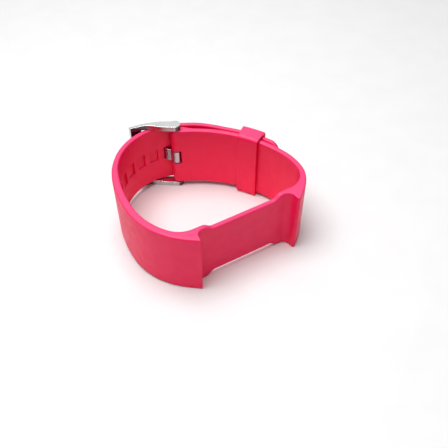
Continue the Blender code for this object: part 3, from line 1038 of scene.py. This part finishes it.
class BAND_OT_strap(bpy.types.Operator):
    """Make the one-piece silicone strap, with its seat, shoulders, windows and buckle end"""

    bl_idname = "band.make_strap"
    bl_label = "Strap"

    def execute(self, context):
        strap, windows = context.scene.band_strap, context.scene.band_windows
        holed, seat = holed_stations(strap), seat_stations(strap)
        stations = holed + seat + buckle_stations(strap)
        right_corner = len(holed) + len(seat) - 1
        stations = corner_rounded(stations, right_corner, BUCKLE_CORNER_REACH, pieces=8)
        stations = corner_rounded(stations, len(holed), HOLED_CORNER_REACH, pieces=6)
        rings = []
        for inner, outer, half in stations:
            across = outer - inner
            outline = rounded_rectangle(across.length, 2 * half, strap.edge_radius, 6)
            across.normalize()
            rings.append([(*(inner + across * u), v) for u, v in outline])
        band = loft(rings, "strap")
        names = ("Length", "Height", "Corner", "Depth", "Mouth")
        values = {name: getattr(windows, name.lower()) for name in names}
        band = cut(band, grow(window_points(strap, windows), window_tree(), values))
        pivot = on_buckle_arm(PIVOT_AT, PIVOT_RADIUS)
        reach = STRAP_WIDTH / 2 + CUTTER_OVERRUN
        bore = [disc(BAR_RADIUS + BORE_CLEARANCE, 48, z, pivot) for z in (-reach, reach)]
        band = cut(band, loft(bore, "bar_bore"))
        band = smoothed(cut(band, notch_cutter(context.scene.band_buckle.rest_half)))
        finish_piece(band, "strap", "band", silicone(context.scene.band_finishes))
        return {"FINISHED"}


class BAND_OT_keeper(bpy.types.Operator):
    """Make the keeper loop that holds the tail to the buckle arm"""

    bl_idname = "band.make_keeper"
    bl_label = "Keeper"

    def execute(self, context):
        strap = context.scene.band_strap
        low = -strap.keeper_clearance
        high = strap.buckle_thickness + strap.tail_gap + strap.tail_thickness
        high += strap.keeper_clearance
        radius = BUCKLE_ARCS[-1][0] + (low + high) / 2
        centre = on_buckle_arm(chain_length(BUCKLE_ARCS), -BUCKLE_ARCS[-1][0])
        spoke = on_buckle_arm(KEEPER_AT) - centre
        finish = silicone(context.scene.band_finishes)
        values = {
            "Tunnel Thickness": high - low,
            "Tunnel Height": STRAP_WIDTH + 2 * strap.keeper_clearance,
            "Tunnel Corner": KEEPER_TUNNEL_CORNER,
            "Length": strap.keeper_length,
            "Wall": strap.keeper_wall,
            "Edge": KEEPER_EDGE,
            "Curve Radius": radius,
            "Curve Angle": math.atan2(spoke.y, spoke.x),
            "Centre": placed(centre.to_3d()),
            "Material": finish,
        }
        holder = linked("keeper", bpy.data.meshes.new("keeper"))
        keeper = smoothed(grow(holder, keeper_tree(), values), 60)
        finish_piece(keeper, "keeper", "keeper_loop", finish)
        return {"FINISHED"}


class BAND_OT_frame(bpy.types.Operator):
    """Make the buckle's bent steel frame"""

    bl_idname = "band.make_frame"
    bl_label = "Buckle frame"

    def execute(self, context):
        buckle = context.scene.band_buckle
        half = (BUCKLE_HIGH.z - BUCKLE_LOW.z) / 2
        inside = half - buckle.side_bar
        centre = Vector(FRAME_HEAD_CENTRE)
        head = [centre + FRAME_HEAD_RADIUS * bearing(angle) for angle in spread(-115, 85, 8)]
        outline = head + through(FRAME_OUTER_EDGE, 5) + through(FRAME_INNER_EDGE, 5)
        piece = loft(prism(scaled(outline), -half, half), "frame", PIVOT)
        openings = (
            ("strap_opening", STRAP_OPENING, inside),
            ("tongue_rest", TONGUE_REST, buckle.rest_half),
        )
        for name, plan, reach in openings:
            piece = cut(piece, loft(prism(scaled(plan), -reach, reach), name, PIVOT))
        for side in (1, -1):
            ends = (side * (inside - CUTTER_OVERRUN), side * (inside + PIN_HOLE_DEPTH))
            hole = [disc(PIN_HOLE_RADIUS, 32, z) for z in ends]
            piece = cut(piece, loft(hole, "pin_hole", PIVOT))
        bevel = piece.modifiers.new("edges", "BEVEL")
        bevel.width = buckle.edge
        bevel.segments = 6
        bevel.limit_method = "ANGLE"
        bevel.angle_limit = math.radians(FRAME_BEVEL_ANGLE)
        bevel.use_clamp_overlap = True
        piece = smoothed(plain(piece))
        finishes = context.scene.band_finishes
        # The frame's wrist side is painted dark: painted shade and painted dark reflection.
        finish = steel(
            "frame_finish",
            finishes.steel,
            size=0.25 * MM,
            stretch=(1, 1, 0.3),
            roughness=0.16,
            inner=finishes.steel_painted_shade,
        )
        finish_piece(piece, "frame", "buckle_frame", finish)
        return {"FINISHED"}


class BAND_OT_tongue(bpy.types.Operator):
    """Make the tongue: a curl round the bar, up through the window and over the far bar"""

    bl_idname = "band.make_tongue"
    bl_label = "Buckle tongue"

    def execute(self, context):
        buckle = context.scene.band_buckle
        curl = [buckle.tongue_loop * bearing(angle) for angle in spread(50, -170, 8)]
        line = curl[:-1] + through([curl[-1], *scaled(TONGUE_RUN)], 8)
        curve = bpy.data.curves.new("tongue", "CURVE")
        curve.dimensions = "3D"
        curve.twist_mode = "Z_UP"
        spline = curve.splines.new("POLY")
        spline.points.add(len(line) - 1)
        for point, place in zip(spline.points, line):
            point.co = (*(PIVOT + place.to_3d()), 1)
        for point, scale in zip(spline.points[-len(TONGUE_END_TAPER) :], TONGUE_END_TAPER):
            point.radius = scale
        colour = context.scene.band_finishes.tongue_steel
        finish = steel(
            "tongue_finish", colour, size=0.25 * MM, stretch=(1, 1, 0.3), roughness=0.22
        )
        values = {
            "Thickness": buckle.tongue_thickness,
            "Width": 2 * buckle.tongue_half,
            "Edge": STEEL_EDGE,
            "Material": finish,
        }
        tongue = smoothed(grow(linked("tongue", curve), strip_tree(), values), 50)
        finish_piece(tongue, "tongue", "buckle_tongue", finish)
        return {"FINISHED"}


class BAND_OT_spring_bar(bpy.types.Operator):
    """Make the spring bar: its tube, two tips and the coil spring inside"""

    bl_idname = "band.make_spring_bar"
    bl_label = "Spring bar"

    def execute(self, context):
        colour = context.scene.band_finishes.bar_steel
        satin = steel("bar_finish", colour, size=0.15 * MM, stretch=(1, 1, 0.05), roughness=0.3)
        half = (BAR_HIGH.z - BAR_LOW.z) / 2
        lip_end = half - TUBE_LIP_LENGTH
        profile = [
            (TUBE_LIP_RADIUS, -half),
            (BAR_RADIUS - TUBE_CHAMFER, -half),
            (BAR_RADIUS, TUBE_CHAMFER - half),
            (BAR_RADIUS, half - TUBE_CHAMFER),
            (BAR_RADIUS - TUBE_CHAMFER, half),
            (TUBE_LIP_RADIUS, half),
            (TUBE_LIP_RADIUS, lip_end),
            (TUBE_BORE_RADIUS, lip_end),
            (TUBE_BORE_RADIUS, -lip_end),
            (TUBE_LIP_RADIUS, -lip_end),
        ]
        tube = smoothed(turned(profile, 56, "bar_tube"))
        finish_piece(tube, "strap", "spring_bar_tube", satin)
        for side, body in ((1, "tip_upper"), (-1, "tip_lower")):
            node = "spring_bar_" + body
            sections = self.tip_sections(node, lip_end - TIP_STEM_PLAY)
            tip = loft([disc(radius, 40, side * z) for radius, z in sections], body, PIVOT)
            finish_piece(smoothed(tip), body, node, satin)
        self.make_coil(context)
        return {"FINISHED"}

    def tip_sections(self, node, stem_top):
        """A tip's (radius, distance from the mid-plane), from its stem to its rounded nose."""
        low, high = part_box(node)
        outer = max(high.z - PIVOT.z, PIVOT.z - low.z)
        inner = min(abs(high.z - PIVOT.z), abs(PIVOT.z - low.z))
        sections = [
            (TIP_STEM_RADIUS, inner),
            (TIP_STEM_RADIUS, stem_top),
            (TIP_PIN_RADIUS, stem_top + 0.001 * MM),
            (TIP_PIN_RADIUS, outer - TIP_NOSE),
        ]
        for angle in spread(0, 80, 20)[1:]:
            turn = math.radians(angle)
            radius = TIP_PIN_RADIUS - TIP_NOSE * (1 - math.cos(turn))
            sections.append((radius, outer - TIP_NOSE + TIP_NOSE * math.sin(turn)))
        return sections

    def make_coil(self, context):
        """The coil in two halves, each wound from the middle towards its own tip."""
        buckle = context.scene.band_buckle
        colour = context.scene.band_finishes.spring_steel
        finish = steel(
            "spring_finish", colour, size=0.1 * MM, stretch=(1, 1, 1), roughness=0.35
        )
        low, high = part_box("spring_bar_spring")
        length = (high.z - low.z) / 2 - buckle.spring_wire
        tree = coil_tree()
        halves = (
            ("coil_upper", "upper_tip_press", 0.0),
            ("coil_lower", "lower_tip_press", math.pi),
        )
        for name, joint, flip in halves:
            values = {
                "Turns": buckle.spring_turns / 2,
                "Coil Radius": buckle.spring_radius,
                "Wire Radius": buckle.spring_wire,
                "Length": length,
                "Flip": flip,
                "Centre": PIVOT,
                "Material": finish,
            }
            holder = linked(name, bpy.data.meshes.new(name))
            coil = smoothed(grow(holder, tree, values))
            finish_piece(coil, "strap", "spring_bar_spring", finish)
            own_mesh(coil)


class BAND_OT_stage(bpy.types.Operator):
    """Make the floor, lights and camera"""

    bl_idname = "band.make_stage"
    bl_label = "Stage"

    def execute(self, context):
        stage = context.scene.band_stage
        self.make_floor(stage)
        self.make_lights(context, stage)
        camera = linked("camera", bpy.data.cameras.new("camera"))
        camera.data.lens = stage.lens
        camera.data.clip_start = 1 * MM
        flat = math.cos(stage.elevation)
        across, back = math.sin(stage.azimuth) * flat, -math.cos(stage.azimuth) * flat
        away = Vector((across, back, math.sin(stage.elevation)))
        camera.location = placed(CAMERA_AIM) + away * stage.distance
        camera.rotation_euler = away.to_track_quat("Z", "Y").to_euler()
        context.scene.camera = camera
        context.scene.view_settings.view_transform = "Standard"
        return {"FINISHED"}

    def make_floor(self, stage):
        """The floor leans to meet the shoulders' lower edges and the frame's lower bar."""
        lean = STRAP_LOW.z / FLOOR_CONTACT_RUN
        corners = []
        for x, y in ((-1, -1), (1, -1), (1, 1), (-1, 1)):
            across, onward = x * FLOOR_HALF, y * FLOOR_HALF
            corners.append((across, onward, (PIVOT.y - onward) * lean))
        mesh = bpy.data.meshes.new("floor")
        mesh.from_pydata(corners, [], [(0, 1, 2, 3)])
        floor = linked("floor", mesh)
        material, nodes, shader = material_nodes("pale_floor")
        mask = grained(
            nodes, shader, size=0.4 * MM, stretch=(1, 1, 1), strength=0.1, depth=0.01 * MM
        )
        coloured(nodes, shader, (*stage.floor_colour, 1), mask, 0.99, 1.01)
        shader.inputs["Roughness"].default_value = 0.6
        mesh.materials.append(material)

    def make_lights(self, context, stage):
        world = bpy.data.worlds.new("studio")
        world.use_nodes = True
        background = world.node_tree.nodes["Background"]
        background.inputs["Color"].default_value = (1, 1, 1, 1)
        nodes = NodeTree(world.node_tree)
        way = nodes.add("ShaderNodeTexCoord").outputs["Generated"]
        height = nodes.fed("ShaderNodeSeparateXYZ", {"Vector": way}).outputs["Z"]
        feeds = {
            "Value": height,
            "From Max": 0.8,
            "To Min": stage.horizon,
            "To Max": stage.sky,
        }
        strength = nodes.fed("ShaderNodeMapRange", feeds).outputs["Result"]
        nodes.join(strength, background.inputs["Strength"])
        context.scene.world = world
        lamps = (
            ("overhead", stage.overhead, OVERHEAD_SIZE, OVERHEAD_PLACE),
            ("back", stage.back, BACK_SIZE, BACK_PLACE),
        )
        for name, power, size, place in lamps:
            lamp = bpy.data.lights.new(name, "AREA")
            lamp.energy = power
            lamp.shape = "DISK"
            lamp.size = size
            thing = linked(name, lamp)
            thing.location = place
            thing.rotation_euler = Vector(place).to_track_quat("Z", "Y").to_euler()


class BAND_PT_panel(bpy.types.Panel):
    """Lists the band's makers and sizes."""

    bl_label = "Fitness Tracker Band"
    bl_idname = "BAND_PT_panel"
    bl_space_type = "VIEW_3D"
    bl_region_type = "UI"
    bl_category = "Band"

    def draw(self, context):
        for maker in MAKERS:
            self.layout.operator(maker.bl_idname)
        for name, _ in SETTINGS:
            group = getattr(context.scene, name)
            box = self.layout.box()
            for key in group.__annotations__:
                box.prop(group, key)


MAKERS = (
    BAND_OT_strap,
    BAND_OT_keeper,
    BAND_OT_frame,
    BAND_OT_tongue,
    BAND_OT_spring_bar,
    BAND_OT_stage,
)
SETTINGS = (
    ("band_strap", StrapSizes),
    ("band_windows", WindowSizes),
    ("band_buckle", BuckleSizes),
    ("band_finishes", Finishes),
    ("band_stage", StageSettings),
)


def register():
    for name, group in SETTINGS:
        bpy.utils.register_class(group)
        setattr(bpy.types.Scene, name, PointerProperty(type=group))
    for maker in (*MAKERS, BAND_PT_panel):
        bpy.utils.register_class(maker)


def unregister():
    for maker in (*MAKERS, BAND_PT_panel):
        bpy.utils.unregister_class(maker)
    for name, group in SETTINGS:
        delattr(bpy.types.Scene, name)
        bpy.utils.unregister_class(group)


def main():
    register()
    bpy.ops.band.make_strap()
    bpy.ops.band.make_keeper()
    bpy.ops.band.make_frame()
    bpy.ops.band.make_tongue()
    bpy.ops.band.make_spring_bar()
    bpy.ops.band.make_stage()


if __name__ == "__main__":
    main()
